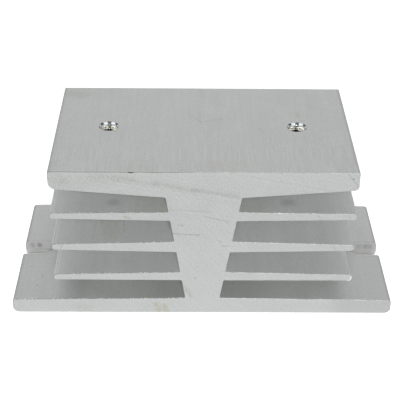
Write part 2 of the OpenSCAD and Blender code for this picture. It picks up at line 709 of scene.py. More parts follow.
# Handling marks on the skin, and bands of painted shade on the fins and the flange.
HANDLING_AND_SHADE = (
    *marks_on(
        Side.TOP,
        ((-34.6, 19.0), (-32.4, 18.0), 4.0, (0.93, 0.92, 0.89), 1.8),
        ((-3.6, 8.0), (-0.6, 2.9), 0.7, (0.95, 0.94, 0.91), 0.6),
        ((-0.6, 2.9), (4.8, 5.1), 0.6, (0.93, 0.915, 0.885), 0.5),
        ((24.3, 8.0), (24.8, 6.0), 0.8, (0.93, 0.90, 0.83), 0.6),
        ((14.3, -0.6), (14.4, -0.8), 0.45, (0.78, 0.76, 0.73)),
        ((17.0, -12.3), (19.8, -12.2), 0.25, (0.90, 0.89, 0.87), 0.2),
        ((17.2, -8.6), (17.1, -12.0), 0.25, (0.92, 0.91, 0.89), 0.2),
        ((14.9, -13.6), (18.7, -13.5), 0.15, (0.88, 0.87, 0.85)),
        ((2.5, -19.0), (8.0, -20.0), 4.5, (0.97, 0.96, 0.935), 2.0),
        ((-18.0, -20.0), (-13.0, -20.5), 3.0, (0.98, 0.97, 0.95), 2.0),
        ((-35.9, -19.4), (-31.3, -19.4), 0.14, (0.80, 0.79, 0.77)),
    ),
    *marks_on(
        Side.HIGH_FIN,
        # Two soft dark spots on the top fin, under the holes.
        ((-22.2, -17.7), (-21.6, -17.9), 2.6, (0.80, 0.80, 0.79), 0.7, 0.0, 0.95),
        ((20.5, -17.6), (21.1, -17.4), 2.8, (0.76, 0.76, 0.77), 0.7, 0.0, 0.95),
        # Painted shade: the top fin's upper face is darker towards the web, more on the right.
        ((8.0, -30.0), (8.0, 30.0), 16.0, (0.90, 0.90, 0.88), 0.0, 0.0, 0.5),
        ((-8.0, -30.0), (-8.0, 30.0), 16.0, (0.95, 0.94, 0.90), 0.0, 0.0, 0.5),
    ),
    *marks_on(
        Side.MIDDLE_FIN,
        ((-22.6, -18.0), (-23.0, -8.0), 4.6, (0.94, 0.93, 0.89), 1.6, 0.3, 0.5),
        ((-27.3, -22.5), (-26.7, -13.0), 0.3, (0.90, 0.89, 0.86), 0.4),
        ((-25.3, -14.5), (-25.4, -8.0), 0.35, (0.84, 0.82, 0.78), 0.6),
        ((-19.6, -18.0), (-19.9, -11.0), 0.3, (0.84, 0.82, 0.78), 0.4),
    ),
    *marks_on(
        Side.FLANGE,
        ((-44.8, -8.1), (-44.8, -8.2), 0.35, (0.66, 0.66, 0.68)),
        ((-41.5, -12.7), (-41.5, -12.8), 0.4, (0.70, 0.70, 0.72)),
        ((-42.4, -16.6), (-42.4, -16.7), 0.35, (0.62, 0.62, 0.66)),
        # Painted shadow of the fins on the flange, deeper towards the web, with its edge just
        # inside the fin tips.
        ((-8.0, 0.0), (8.0, 0.0), 60.0, (0.83, 0.83, 0.82), 0.0, 0.0, 0.15),
        ((0.0, -30.0), (0.0, 30.0), 30.0, (0.88, 0.88, 0.87), 0.0, 0.0, 0.5),
        ((-32.5, -30.0), (-32.5, 30.0), 7.0, (0.84, 0.84, 0.84), 0.0, 0.0, 0.7),
        ((33.5, -30.0), (33.5, 30.0), 6.0, (0.88, 0.88, 0.88), 0.0, 0.0, 0.7),
    ),
)


@dataclass(frozen=True)
class SawnEnd(Finish):
    """The sawn ends: bright, with fine slanting saw lines, mottled smears, a few stains and the
    painted shade of a notch, and darker towards the top.
    """

    name: str = "sawn_end"
    colour: Colour = (0.408, 0.42, 0.416)
    metallic: float = 0.3
    roughness: float = 0.5
    saw_angle: float = -52.0
    saw_spacing: float = 0.3
    saw_waver: float = 0.6
    hatch: float = 0.24
    patchiness: float = 1.6
    patch_size: Triple = (5.0, 5.0, 5.0)
    smear_angle: float = -11.0
    smear_spacing: float = 0.7
    smear_waver: float = 0.4
    smear: float = 0.12
    smear_z: Pair = (18.0, 34.0)
    cloud: float = 0.12
    speckle_size: Triple = (0.45, 0.45, 0.45)
    speckle: float = 0.4
    top_darkening_z: Pair = (2.0, 40.0)
    top_darkening: float = 0.12
    level: float = 1.05
    relief: float = 0.01
    gloss_change: float = 0.15
    marks: tuple[Mark, ...] = SMEARS + SCRATCHES + STAINS + (NICK_SHADE,)

    def material(self) -> bpy.types.Material:
        """Makes the finish's material.

        Returns:
            The material.
        """
        paint = Painter(self.name)
        across = self._across(paint, self.saw_angle)
        hatch = paint.lines(across, self.saw_spacing, self.saw_waver)
        hatch = hatch * (paint.grain(self.patch_size, 1.0, 17.0) * self.patchiness + 1.0)
        across = self._across(paint, self.smear_angle)
        smear = paint.lines(across, self.smear_spacing, self.smear_waver, 31.0)
        smear = smear * paint.blend_in(paint.z, *self.smear_z)
        cloud = paint.grain(self.patch_size, 3.0)
        speckle = paint.grain(self.speckle_size, 3.0)
        # The sawn face is made darker towards the top.
        top_darkening = paint.blend_in(paint.z, *self.top_darkening_z)
        tone = hatch * self.hatch + smear * self.smear + cloud * self.cloud + speckle * self.speckle
        tone = tone - top_darkening * self.top_darkening + self.level
        colour = paint.scaled(self.colour, tone)
        for mark in self.marks:
            colour = paint.marked(colour, mark)
        relief = hatch * self.relief + speckle * self.relief
        roughness = hatch * self.gloss_change + self.roughness
        return paint.finished(colour, self.metallic, roughness, relief)

    def _across(self, paint: Painter, angle: float) -> Field:
        """The coordinate across lines that lie at an angle, in degrees, on the section."""
        turn = math.radians(angle)
        return paint.z * math.cos(turn) - paint.x * math.sin(turn)


@dataclass(frozen=True)
class DrawnSkin(Finish):
    """The extruded skin: fine lines left by the die along the bar, a little handling, and painted
    shade and highlights on its edges, fins, flange and slot rims.
    """

    name: str = "drawn_skin"
    colour: Colour = (0.50, 0.512, 0.507)
    metallic: float = 0.2
    roughness: float = 0.65
    plate_w: float = 74.0
    base_w: float = 96.0
    fin_span: float = 74.4
    slot_axis: Pair = (42.45, 0.5)
    slot_r: float = 2.75
    far: float = 9.0
    flange_top: Pair = (5.0, 6.0)
    fin_foot: Pair = (6.0, 7.0)
    plate_foot: Pair = (34.0, 35.0)
    streak_size: Triple = (0.3, 9.0, 0.3)
    streak_fade: Pair = (4.0, -14.0)
    streak_share: Pair = (0.4, 1.2)
    least_streaks: float = 0.25
    streaks: float = 0.3
    band_size: Triple = (1.6, 60.0, 1.6)
    bands: float = 0.1
    cloud_size: Triple = (6.0, 8.0, 6.0)
    cloud: float = 0.1
    speckle_size: Triple = (0.5, 0.7, 0.5)
    speckle: float = 0.26
    edge_shade_w: float = 1.2
    edge_shade_tint: Colour = (0.78, 0.78, 0.78)
    tip_highlight_tint: Colour = (1.3, 1.32, 1.36)
    tip_line: Triple = (0.15, 0.4, 0.15)
    second_line: Triple = (1.0, 0.25, 0.1)
    second_share: float = 0.35
    highlight_side: Pair = (5.0, -5.0)
    highlight_share: Pair = (0.5, 1.0)
    rim_highlight_line: Triple = (0.15, 0.25, 0.1)
    rim_highlight: Colour = (1.06, 1.06, 1.05)
    rim_shade_line: Triple = (0.6, 0.3, 0.1)
    rim_shade: Colour = (0.9, 0.89, 0.88)
    line_relief: float = 0.012
    band_relief: float = 0.01
    gloss_change: float = 0.15
    specular: float = 0.3
    marks: tuple[Mark, ...] = HANDLING_AND_SHADE

    def material(self) -> bpy.types.Material:
        """Makes the finish's material.

        Returns:
            The material.
        """
        paint = Painter(self.name)
        fine = paint.grain(self.streak_size, 2.0)
        fine = fine * paint.ramp(paint.y, self.streak_fade, self.streak_share)
        fine = fine * paint.ramp(paint.z, self.plate_foot, (self.least_streaks, 1.0))
        broad = paint.grain(self.band_size, 2.0, 7.0)
        cloud = paint.grain(self.cloud_size, 3.0, 3.0)
        speckle = paint.grain(self.speckle_size, 2.0, 9.0)
        tone = fine * self.streaks + broad * self.bands + cloud * self.cloud
        tone = tone + speckle * self.speckle + 1.0
        colour = paint.scaled(self.colour, tone)
        for mark in self.marks:
            colour = paint.marked(colour, mark)
        # Painted shade and dark reflection on the rounded long edges of the plate and the flange.
        colour = paint.tinted(colour, self.edge_shade_tint, self._edge_shade(paint))
        # Painted highlight along the rounded fin tips, stronger on the left.
        colour = paint.tinted(colour, self.tip_highlight_tint, self._tip_highlight(paint))
        from_slot = self._from_slot(paint)
        # Painted highlight on the raised lip round each slot, and painted shade just outside it.
        colour = paint.tinted(colour, self.rim_highlight, paint.near(from_slot, self.rim_highlight_line))
        colour = paint.tinted(colour, self.rim_shade, paint.near(from_slot, self.rim_shade_line))
        relief = fine * self.line_relief + broad * self.band_relief
        roughness = fine * self.gloss_change + self.roughness
        return paint.finished(
            colour, self.metallic, roughness, relief, Specular_IOR_Level=self.specular
        )

    def _edge_shade(self, paint: Painter) -> Field:
        """Rises to 1 at the long edges of the plate and the flange, where painted shade darkens the
        rounded edges.

        Args:
            paint: The shader tree.

        Returns:
            The share.
        """
        half_w = paint.ramp(paint.z, self.plate_foot, (self.base_w / 2, self.plate_w / 2))
        return paint.blend_in(abs(paint.x) - half_w, -self.edge_shade_w, 0.0)

    def _tip_highlight(self, paint: Painter) -> Field:
        """Rises to 1 in a painted highlight along the tips of the fins, stronger on the left, and
        in a fainter light line beside it.

        Args:
            paint: The shader tree.

        Returns:
            The share.
        """
        inward = self.fin_span / 2 - abs(paint.x)
        line = paint.near(inward, self.tip_line)
        line = line + paint.near(inward, self.second_line) * self.second_share
        line = line * paint.ramp(paint.x, self.highlight_side, self.highlight_share)
        line = line * paint.blend_in(paint.z, *self.fin_foot)
        return line * paint.blend_in(paint.z, *reversed(self.plate_foot))

    def _from_slot(self, paint: Painter) -> Field:
        """How far a place on the flange is from the outline of the nearer slot, and far elsewhere.

        Args:
            paint: The shader tree.

        Returns:
            The distance, in millimetres.
        """
        axis_x, axis_y = self.slot_axis
        short_of = paint.math("MAXIMUM", axis_x - abs(paint.x), 0.0)
        aside = paint.y - axis_y
        distance = paint.math("SQRT", short_of * short_of + aside * aside) - self.slot_r
        return distance + paint.blend_in(paint.z, *self.flange_top) * self.far


@dataclass(frozen=True)
class BrokenEdge(Finish):
    """The narrow broken edge round each sawn end, where dirt stays, mostly on the left, with the
    painted shade of a notch.
    """

    name: str = "broken_edge"
    colour: Colour = (0.42, 0.42, 0.415)
    metallic: float = 0.2
    roughness: float = 0.6
    patch_size: Triple = (1.2, 1.2, 1.2)
    patchiness: float = 1.2
    dirt: Colour = (0.5, 0.49, 0.47)
    dirt_x: Pair = (2.0, -8.0)
    nick_shade: Mark = NICK_SHADE

    def material(self) -> bpy.types.Material:
        """Makes the finish's material.

        Returns:
            The material.
        """
        paint = Painter(self.name)
        tone = paint.grain(self.patch_size, 3.0) * self.patchiness + 1.0
        colour = paint.scaled(self.colour, tone)
        colour = paint.tinted(colour, self.dirt, paint.blend_in(paint.x, *self.dirt_x))
        return paint.finished(paint.marked(colour, self.nick_shade), self.metallic, self.roughness)


@dataclass(frozen=True)
class PunchedWall(Finish):
    """The walls of the fixing slots: smooth above, darkened by painted dark reflection, faint
    painted shade and soft spots of painted shade, and pale below, partly the torn band and partly
    painted light where the near rim shades them.

    A spot of shade is its place along X, half its width and its depth.
    """

    name: str = "punched_wall"
    colour: Colour = (0.74, 0.74, 0.725)
    metallic: float = 0.2
    roughness: float = 0.6
    streak_size: Triple = (0.4, 0.4, 4.0)
    streaks: float = 0.2
    relief: float = 0.02
    smooth_reflection_tint: Colour = (0.55, 0.555, 0.56)
    smooth_reflection_z: Pair = (0.8, 2.0)
    shade_haze: float = 0.04
    blotch_size: Triple = (0.8, 0.8, 1.2)
    blotchiness: float = 2.4
    shade_foot: Pair = (1.9, 2.9)
    shade_top: Pair = (4.4, 3.2)
    shade_spots: tuple[Triple, ...] = (
        (-46.1, 1.0, 0.24),
        (-44.1, 1.0, 0.34),
        (43.2, 1.2, 0.20),
        (44.9, 1.1, 0.30),
        (46.3, 0.9, 0.26),
    )

    def material(self) -> bpy.types.Material:
        """Makes the finish's material.

        Returns:
            The material.
        """
        paint = Painter(self.name)
        streaks = paint.grain(self.streak_size, 2.0)
        upper = paint.blend_in(paint.z, *self.shade_foot)
        upper = upper * paint.blend_in(paint.z, *self.shade_top)
        blotch = paint.grain(self.blotch_size, 3.0, 4.0) * self.blotchiness + 1.0
        # Soft spots of painted shade, and a faint painted shade over the whole upper wall.
        shade_share = upper * self.shade_haze
        for place, half_w, depth in self.shade_spots:
            near = paint.near(paint.x, (place, half_w, half_w * 0.2))
            shade_share = shade_share + near * upper * blotch * depth
        colour = paint.scaled(self.colour, (streaks * self.streaks + 1.0) * (1.0 - shade_share))
        # Above the foot the smooth wall is tinted darker as a painted dark reflection; below, the
        # pale colour is partly the torn band and partly painted light where the near rim shades the
        # wall.
        colour = paint.tinted(colour, self.smooth_reflection_tint, paint.blend_in(paint.z, *self.smooth_reflection_z))
        return paint.finished(colour, self.metallic, self.roughness, streaks * self.relief)


@dataclass(frozen=True)
class CutThread(Finish):
    """The countersinks and threads: freshly cut and bright, with painted dark reflections and
    painted shade round the axis.

    Its dark parts are painted: dark reflections in wedges that follow the chatter on the
    countersink, shade at the root at its foot, and shade in the core and the foot of the hole
    further down. A part's top is where it sets in, as a depth below the root, and its side is
    where it sets in across the hole.
    """

    name: str = "cut_thread"
    colour: Colour = (0.80, 0.84, 0.87)
    metallic: float = 1.0
    roughness: float = 0.25
    axis_x: float = 23.8
    axis_y: float = 0.5
    top_z: float = 41.4
    sink_depth: float = 0.8
    lean: float = 0.3
    blot_size: Triple = (0.5, 0.5, 0.5)
    lobes: int = 7
    turn: float = 0.05
    wedge_blot: float = 0.4
    wedge_edge: Pair = (-0.1, 0.35)
    wedge_top: Pair = (0.0, -0.3)
    wedge_share: float = 0.9
    wedge_patchiness: float = 0.6
    root_edge: Pair = (0.2, 0.1)
    root_side: Pair = (0.45, 0.25)
    root_share: Pair = (0.4, 0.9)
    core_top: Pair = (0.3, 0.5)
    core_side: Pair = (0.55, 0.25)
    core_share: float = 0.8
    foot_top: Pair = (0.8, 1.0)
    foot_side: Pair = (0.9, 0.4)
    foot_share: Pair = (0.2, 0.9)
    warm: Colour = (1.2, 1.13, 1.0)
    warm_top: Pair = (0.0, 0.1)
    side_tint: Colour = (0.58, 0.58, 0.58)
    side_edge: Pair = (0.7, 0.86)
    lip_tint: Colour = (0.62, 0.61, 0.59)
    lip_edge: Pair = (0.16, 0.04)
    dark: Colour = (0.07, 0.075, 0.07)

    def material(self) -> bpy.types.Material:
        """Makes the finish's material.

        Returns:
            The material.
        """
        paint = Painter(self.name)
        side = paint.math("SIGN", paint.x)
        out = paint.x - side * self.axis_x
        angle = paint.math("ARCTAN2", paint.y - self.axis_y, out)
        aside = abs(paint.math("COSINE", angle))
        depth = self.top_z - paint.z
        below = depth + aside * self.lean - self.sink_depth
        blot = paint.grain(self.blot_size, 2.0)
        wave = paint.math("COSINE", (angle - math.pi / 2 + (side + 1.0) * self.turn) * self.lobes)
        wedge = paint.blend_in(wave + blot * self.wedge_blot, *self.wedge_edge)
        wedge = wedge * paint.blend_in(below, *self.wedge_top)
        wedge = wedge * (blot * self.wedge_patchiness + self.wedge_share)
        root = paint.blend_in(abs(below), *self.root_edge)
        root = root * paint.ramp(aside, self.root_side, self.root_share)
        core = paint.blend_in(below, *self.core_top)
        core = core * paint.blend_in(abs(out), *self.core_side) * self.core_share
        foot = paint.blend_in(below, *self.foot_top)
        foot = foot * paint.ramp(abs(out), self.foot_side, self.foot_share)
        colour = paint.scaled(self.colour, 1.0)
        colour = paint.tinted(colour, self.warm, paint.blend_in(below, *self.warm_top))
        colour = paint.tinted(colour, self.side_tint, paint.blend_in(aside, *self.side_edge))
        colour = paint.tinted(colour, self.lip_tint, paint.blend_in(depth, *self.lip_edge))
        # Painted dark reflections in the wedges, and painted shade at the root, in the core and at
        # the foot.
        for share in (wedge, root, core, foot):
            colour = paint.tinted(colour, self.dark, share)
        return paint.finished(colour, self.metallic, self.roughness)


@dataclass(frozen=True)
class BurrPaintedGlint(Finish):
    """Chips of bare metal that hang on the sawn edges, near white, partly as bare metal and partly
    as a painted glint.
    """

    name: str = "burr_painted_glint"
    colour: Colour = (0.97, 0.98, 0.98)
    metallic: float = 0.2
    roughness: float = 0.35
    patch_size: Triple = (0.3, 0.3, 0.3)
    patchiness: float = 0.8

    def material(self) -> bpy.types.Material:
        """Makes the finish's material.

        Returns:
            The material.
        """
        paint = Painter(self.name)
        # The near white colour is partly the bare metal and partly a painted glint.
        tone = paint.grain(self.patch_size, 1.0) * self.patchiness + 1.0
        return paint.finished(paint.scaled(self.colour, tone), self.metallic, self.roughness)


# ---- The section ----


@dataclass(frozen=True)
class Corner:
    """A corner of the section, and the radius of the arc that rounds it."""

    x: float
    z: float
    radius: float


@dataclass(frozen=True)
class Section:
    """The section of the extrusion. Lists run from the lowest fin up."""

    height: float
    base_w: float
    base_edge_t: float = 4.05
    base_root_t: float = 4.65
    base_lower_r: float = 1.5
    base_upper_r: float = 0.9
    plate_w: float = 74.0
    plate_edge_t: float = 4.85
    plate_root_t: float = 7.1
    plate_left_r: float = 2.0
    plate_right_r: float = 1.1
    plate_top_r: float = 0.35
    web_top_w: float = 18.4
    web_foot_w: float = 8.8
    root_r: float = 0.3
    fin_span: float = 74.4
    fin_pitch: float = 9.0
    fin_stack_drop: float = 0.25
    fin_tip_t: float = 1.75
    fin_tip_r: float = 0.8
    fin_rise: tuple[float, ...] = (0.75, 0.85, 0.35)
    fin_fall: tuple[float, ...] = (0.1, 0.6, 0.45)

    @property
    def web_top_z(self) -> float:
        """The height at which the web meets the device plate."""
        return self.height - self.plate_root_t

    def fin_z(self, fin: int) -> float:
        """The height of the middle of one fin's tip."""
        middle = (self.base_edge_t + self.height - self.plate_edge_t) / 2 - self.fin_stack_drop
        return middle + (fin - (len(self.fin_rise) - 1) / 2) * self.fin_pitch

    @property
    def lowest_tip(self) -> tuple[Pair, float]:
        """The X and Z of the middle of the lowest fin's right-hand tip, and the tip's radius."""
        return (self.fin_span / 2 - self.fin_tip_r, self.fin_z(0)), self.fin_tip_r

    def web_corner(self, z: float) -> Corner:
        """The corner that another face makes with the web's right-hand flank, at a height.

        Args:
            z: The height.

        Returns:
            The corner.
        """
        share = (z - self.base_root_t) / (self.web_top_z - self.base_root_t)
        width = self.web_foot_w + share * (self.web_top_w - self.web_foot_w)
        return Corner(width / 2, z, self.root_r)

    def half(self, plate_edge_r: float) -> list[Corner]:
        """The corners of the right-hand half, from the underside up.

        Args:
            plate_edge_r: The radius of the plate's lower edge on this side.

        Returns:
            The corners.
        """
        corners = [
            Corner(self.base_w / 2, 0.0, self.base_lower_r),
            Corner(self.base_w / 2, self.base_edge_t, self.base_upper_r),
            self.web_corner(self.base_root_t),
        ]
        for fin, (rise, fall) in enumerate(zip(self.fin_rise, self.fin_fall)):
            low, high = (self.fin_z(fin) + side * self.fin_tip_t / 2 for side in (-1, 1))
            corners += [
                self.web_corner(low - fall),
                Corner(self.fin_span / 2, low, self.fin_tip_r),
                Corner(self.fin_span / 2, high, self.fin_tip_r),
                self.web_corner(high + rise),
            ]
        return corners + [
            self.web_corner(self.web_top_z),
            Corner(self.plate_w / 2, self.height - self.plate_edge_t, plate_edge_r),
            Corner(self.plate_w / 2, self.height, self.plate_top_r),
        ]

    def corners(self) -> list[Corner]:
        """All corners, anticlockwise."""
        left = [Corner(-c.x, c.z, c.radius) for c in reversed(self.half(self.plate_left_r))]
        return self.half(self.plate_right_r) + left

    def wire(self) -> bpy.types.Object:
        """The corners as a closed loop of edges in the XY plane, each with its radius stored.

        Returns:
            The object that holds the loop.
        """
        corners = self.corners()
        count = len(corners)
        mesh = bpy.data.meshes.new("section")
        points = [(corner.x * MM, corner.z * MM, 0.0) for corner in corners]
        mesh.from_pydata(points, [(i, (i + 1) % count) for i in range(count)], [])
        radius = mesh.attributes.new("corner_radius", "FLOAT", "POINT")
        radius.data.foreach_set("value", [corner.radius * MM for corner in corners])
        wire = bpy.data.objects.new("section", mesh)
        bpy.context.scene.collection.objects.link(wire)
        return wire


# ---- The bar and what is cut into it ----


@dataclass(frozen=True)
class Bar:
    """The sawn length of extrusion."""

    section: Section
    length: float
    edge_break: float = 0.12
    arc_steps: int = 10
    widest_arc_step: float = 0.4
    skin: Finish = field(default_factory=DrawnSkin)
    ends: Finish = field(default_factory=SawnEnd)
    edges: Finish = field(default_factory=BrokenEdge)

    @property
    def arc_face_area(self) -> float:
        """An area that only the faces of the section's arcs stay under, in square metres."""
        return self.length * self.widest_arc_step * MM * MM

    def outline(self, recipe: Recipe) -> Field:
        """The rounded section as a closed curve in the XY plane.

        Args:
            recipe: The tree that it goes into.

        Returns:
            The curve.
        """
        radius = recipe.add("GeometryNodeInputNamedAttribute", {"Name": "corner_radius"})
        curve = recipe.add("GeometryNodeMeshToCurve", {"Mesh": recipe["Geometry"]})
        inputs = {"Curve": curve, "Count": recipe["Arc Steps"], "Radius": radius}
        inputs["Limit Radius"] = True
        return recipe.add("GeometryNodeFilletCurve", inputs, mode="POLY")

    def solid(self, recipe: Recipe, outline: Field) -> Field:
        """The bar, with its edges broken at both ends and its section upright.

        Args:
            recipe: The tree that it goes into.
            outline: The rounded section.

        Returns:
            The solid.
        """
        length = recipe["Length"]
        prism = recipe.prism(outline, length, recipe["Edge Break"])
        upright = (math.pi / 2, 0.0, 0.0)
        return recipe.moved(prism, recipe.vector(0.0, length * 0.5, 0.0), upright)


@dataclass(frozen=True)
class DeviceHoles:
    """The two tapped and countersunk holes for the device's screws."""

    spacing: float
    core_r: float
    row_y: float
    top_z: float
    depth: float
    sink_r: float = 2.55
    thread_r: float = 2.0
    thread_pitch: float = 0.7
    thread_flank: Pair = (0.1, 0.85)
    whole_turns: float = 50.0
    turn_steps: int = 12
    sides: int = 48
    overcut: float = 0.6
    chatter: float = 0.03
    lobes: int = 7
    finish: Finish = field(default_factory=CutThread)

    def cutter(self, recipe: Recipe) -> Field:
        """What is cut out for one hole, with the hole's axis on Z.

        Args:
            recipe: The tree that it goes into.

        Returns:
            The solid.
        """
        height = self.depth + 2 * self.overcut
        rows = round(height / self.thread_pitch * self.turn_steps)
        inputs = {"Vertices": self.sides, "Side Segments": rows}
        inputs |= {"Radius": 1.0, "Depth": height * MM}
        drum = recipe.add("GeometryNodeMeshCylinder", inputs)
        x, y, z = recipe.parts(recipe.position)
        z = z / MM
        turn = recipe.math("ARCTAN2", y, x) / math.tau
        phase = recipe.math("FRACT", z / self.thread_pitch - turn + self.whole_turns)
        crest = abs(phase - 0.5) * 2.0
        low, high = self.thread_flank
        inputs = {"Value": crest, "From Min": low, "From Max": high}
        flank = recipe.add("ShaderNodeMapRange", inputs)
        thread = flank * (self.thread_r - self.core_r) + self.core_r
        chatter = recipe.math("COSINE", turn * (math.tau * self.lobes)) * self.chatter
        cone = z - (height / 2 - self.overcut - self.sink_r) + chatter
        radius = recipe.math("MAXIMUM", thread, cone) * MM
        placed = recipe.vector(x * radius, y * radius, z * MM)
        drum = recipe.add("GeometryNodeSetPosition", {"Geometry": drum, "Position": placed})
        return recipe.dressed(drum, self.finish.material())

    def cutters(self, recipe: Recipe) -> list[Field]:
        """Both cutters, in place.

        Args:
            recipe: The tree that they go into.

        Returns:
            The solids.
        """
        cutter = self.cutter(recipe)
        middle_z = (self.top_z - self.depth / 2) * MM
        places = [(side * self.spacing / 2 * MM, self.row_y * MM, middle_z) for side in (-1, 1)]
        return [recipe.moved(cutter, place) for place in places]


@dataclass(frozen=True)
class FixingSlots:
    """The open slots in the long edges of the base flange."""

    flange_w: float
    flange_t: float
    row_y: float
    width: float = 5.5
    depth: float = 8.3
    overcut: float = 1.0
    rim_z: float = 4.13
    lip_w: float = 0.25
    lip_h: float = 0.1
    lip_stop: float = 1.8
    steps: int = 24
    finish: Finish = field(default_factory=PunchedWall)

    @property
    def axis(self) -> Pair:
        """The X and Y of the axis of the right-hand slot's round end."""
        return self.flange_w / 2 - self.depth + self.width / 2, self.row_y

    def tongue(self, recipe: Recipe, side: int, grow: float, outer_x: float, ends: Pair) -> Field:
        """A tongue in the shape of a slot, with a round inner end.

        Args:
            recipe: The tree that it goes into.
            side: -1 for the left-hand slot, 1 for the right-hand one.
            grow: How much wider than the slot the tongue is, on each side.
            outer_x: How far out it reaches.
            ends: The heights of its lower and upper faces.

        Returns:
            The solid.
        """
        low, high = ends
        inner_x = self.flange_w / 2 - self.depth - grow
        width = self.width + 2 * grow
        inputs = {"Width": (outer_x - inner_x) * MM, "Height": width * MM}
        outline = recipe.add("GeometryNodeCurvePrimitiveQuadrilateral", inputs)
        x, _, _ = recipe.parts(recipe.position)
        inner = recipe.where(x * float(side), "LESS_THAN", 0.0)
        inputs = {"Switch": inner, "True": width / 2 * MM}
        radius = recipe.add("GeometryNodeSwitch", inputs, input_type="FLOAT")
        inputs = {"Curve": outline, "Count": self.steps, "Radius": radius, "Limit Radius": True}
        outline = recipe.add("GeometryNodeFilletCurve", inputs, mode="POLY")
        solid = recipe.prism(outline, (high - low) * MM)
        middle_x = side * (outer_x + inner_x) / 2
        return recipe.moved(solid, (middle_x * MM, self.row_y * MM, low * MM))

    def cutters(self, recipe: Recipe) -> list[Field]:
        """Both cutters, in place.

        Args:
            recipe: The tree that they go into.

        Returns:
            The solids.
        """
        outer_x = self.flange_w / 2 + self.overcut
        ends = (-self.overcut, self.flange_t + self.overcut)
        material = self.finish.material()
        tongues = [self.tongue(recipe, side, 0.0, outer_x, ends) for side in (-1, 1)]
        return [recipe.dressed(tongue, material) for tongue in tongues]

    def lips(self, recipe: Recipe, material: bpy.types.Material) -> list[Field]:
        """The thin lips that the punch raised round both slots, still closed over them.

        Args:
            recipe: The tree that they go into.
            material: The material of the skin round them.

        Returns:
            The solids.
        """
        outer_x = self.flange_w / 2 - self.lip_stop
        ends = (self.flange_t / 2, self.rim_z + self.lip_h)
        tongues = [self.tongue(recipe, side, self.lip_w, outer_x, ends) for side in (-1, 1)]
        return [recipe.dressed(tongue, material) for tongue in tongues]


@dataclass(frozen=True)
class SawBurr:
    """What the saw left on the edges of both sawn ends: loose chips and one curled sliver."""

    length: float
    top_z: float
    spacing: float = 0.3
    share: float = 0.3
    smallest: float = 0.04
    largest: float = 0.12
    seed: int = 11
    size_seed: int = 50
    turn_seed: int = 90
    turn_axis: Triple = (1.0, 2.0, 3.0)
    most_turn: float = 6.0
    sunk: float = 0.4
    least_rise: float = 0.7
    below_top: float = 1.0
    sliver_r: float = 0.1
    sliver_start: float = -1.9
    sliver_sweep: float = 2.6
    sliver_steps: int = 16
    sliver_sides: int = 8
    finish: Finish = field(default_factory=BurrPaintedGlint)

    def sliver(self, recipe: Recipe, middle: Pair, radius: float) -> Field:
        """A thread of metal that curls round the front of one fin's tip.

        Args:
            recipe: The tree that it goes into.
            middle: The X and Z of the middle of the curl.
            radius: The curl's radius.

        Returns:
            The solid.
        """
        inputs = {
            "Resolution": self.sliver_steps,
            "Radius": radius * MM,
            "Start Angle": self.sliver_start,
            "Sweep Angle": self.sliver_sweep,
        }
        curl = recipe.add("GeometryNodeCurveArc", inputs, mode="RADIUS")
        inputs = {"Resolution": self.sliver_sides, "Radius": self.sliver_r * MM}
        profile = recipe.add("GeometryNodeCurvePrimitiveCircle", inputs)
        inputs = {"Curve": curl, "Profile Curve": profile, "Fill Caps": True}
        thread = recipe.add("GeometryNodeCurveToMesh", inputs)
        x, z = middle
        place = (x * MM, (self.sliver_r - self.length / 2) * MM, z * MM)
        return recipe.moved(thread, place, (math.pi / 2, 0.0, 0.0))

    def chips(self, recipe: Recipe, outline: Field) -> Field:
        """Small lumps just inside both ends, wherever the outline faces up below the plate.

        Args:
            recipe: The tree that they go into.
            outline: The rounded section.

        Returns:
            The lumps.
        """
        inputs = {"Curve": outline, "Length": self.spacing * MM}
        spread = recipe.node("GeometryNodeCurveToPoints", inputs, mode="LENGTH")
        tangent_x, _, _ = recipe.parts(Field(recipe, spread.outputs["Tangent"]))
        _, _, height = recipe.parts(recipe.position)
        upward = recipe.where(tangent_x, "LESS_THAN", -self.least_rise)
        below = recipe.where(height, "LESS_THAN", (self.top_z - self.below_top) * MM)
        here = recipe.both(upward, below)
        ends = []
        for seed, middle_y in enumerate((-1.0, 1.0), self.seed):
            kept = recipe.both(here, recipe.where(recipe.chance(seed), "LESS_THAN", self.share))
            size = recipe.chance(seed + self.size_seed, self.smallest, self.largest) * MM
            x, z, _ = recipe.parts(recipe.position)
            y = (size * -1.0 + self.length / 2 * MM) * middle_y
            placed = recipe.vector(x, y, z - size * self.sunk)
            inputs = {"Geometry": Field(recipe, spread.outputs["Points"]), "Position": placed}
            points = recipe.add("GeometryNodeSetPosition", inputs)
            lump = recipe.add("GeometryNodeMeshIcoSphere", {"Radius": 1.0, "Subdivisions": 1})
            axis = recipe.vector(*self.turn_axis)
            turn = recipe.chance(seed + self.turn_seed, 0.0, self.most_turn)
            inputs = {
                "Points": points,
                "Selection": kept,
                "Instance": lump,
                "Rotation": recipe.scaled(axis, turn),
                "Scale": size,
            }
            lumps = recipe.add("GeometryNodeInstanceOnPoints", inputs)
            ends.append(recipe.add("GeometryNodeRealizeInstances", {"Geometry": lumps}))
        return recipe.joined(*ends)


